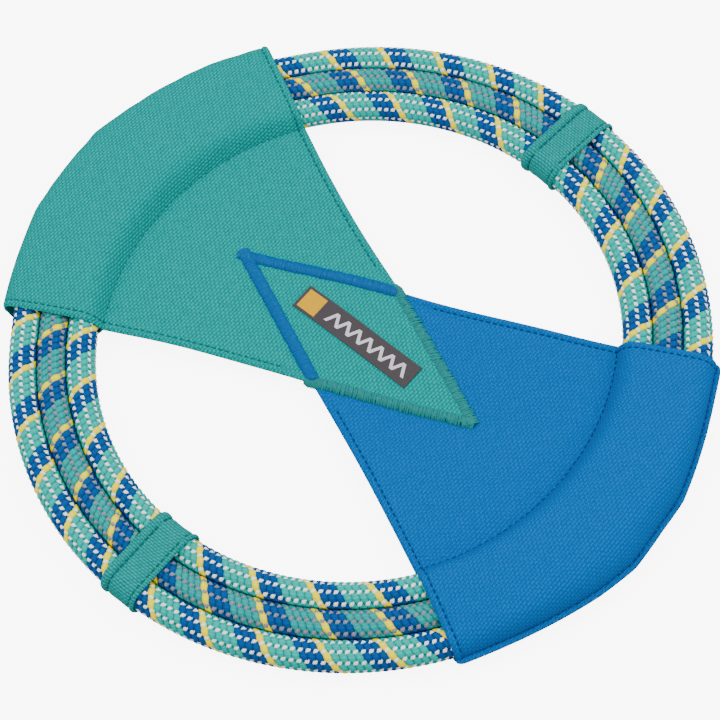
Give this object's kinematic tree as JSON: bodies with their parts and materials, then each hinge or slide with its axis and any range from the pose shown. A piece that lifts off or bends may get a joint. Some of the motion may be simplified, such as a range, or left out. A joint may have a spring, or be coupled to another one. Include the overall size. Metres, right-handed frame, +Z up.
{
  "type": "flying ring",
  "caption": "Soft flying ring of concentric braided rope loops, wrapped by crossing fabric fans and bunched by sliding fabric keepers.",
  "frame": {"origin": "centre of the ring on the surface that it lies on", "axes": "+Z up through the ring, +Y towards the middle of the teal fan, +X towards the right keeper"},
  "size_m": [0.2366, 0.2474, 0.013],
  "materials": {
    "braid_white": "matt",
    "braid_grey": "matt",
    "rope_core": "matt",
    "splice_tape": "satin",
    "fabric_teal": "matt woven",
    "fabric_blue": "matt woven",
    "thread_teal": "satin",
    "thread_blue": "satin",
    "satin_teal": "satin",
    "satin_blue": "satin",
    "label": "matt",
    "keeper_fabric": "matt woven"
  },
  "bodies": {
    "ring": {"outer_rope_sheath": "braid_white", "outer_rope_core": "rope_core", "outer_rope_splice": "splice_tape", "middle_rope_sheath": "braid_grey", "middle_rope_core": "rope_core", "middle_rope_splice": "splice_tape", "inner_rope_sheath": "braid_white", "inner_rope_core": "rope_core", "inner_rope_splice": "splice_tape", "teal_fan_top_panel": "fabric_teal", "teal_fan_bottom_panel": "fabric_teal", "blue_fan_top_panel": "fabric_blue", "blue_fan_bottom_panel": "fabric_blue", "teal_rim_stitching": "thread_teal", "blue_rim_stitching": "thread_blue", "teal_channel_stitching": "thread_teal", "blue_channel_stitching": "thread_blue", "teal_hem_stitching": "thread_teal", "blue_hem_stitching": "thread_blue", "teal_tip_satin": "satin_teal", "blue_tip_satin": "satin_blue", "label": "label"},
    "keeper_right": {"right_keeper": "keeper_fabric", "right_keeper_stitching": "thread_teal"},
    "keeper_left": {"left_keeper": "keeper_fabric", "left_keeper_stitching": "thread_teal"}
  },
  "joints": [
    {"name": "right_keeper_slide", "type": "hinge", "parent": "ring", "child": "keeper_right", "pos_m": [0, 0, 0.0063], "axis": [0, 0, 1], "range_deg": [-43, 51]},
    {"name": "left_keeper_slide", "type": "hinge", "parent": "ring", "child": "keeper_left", "pos_m": [0, 0, 0.0063], "axis": [0, 0, 1], "range_deg": [-48, 46]}
  ]
}
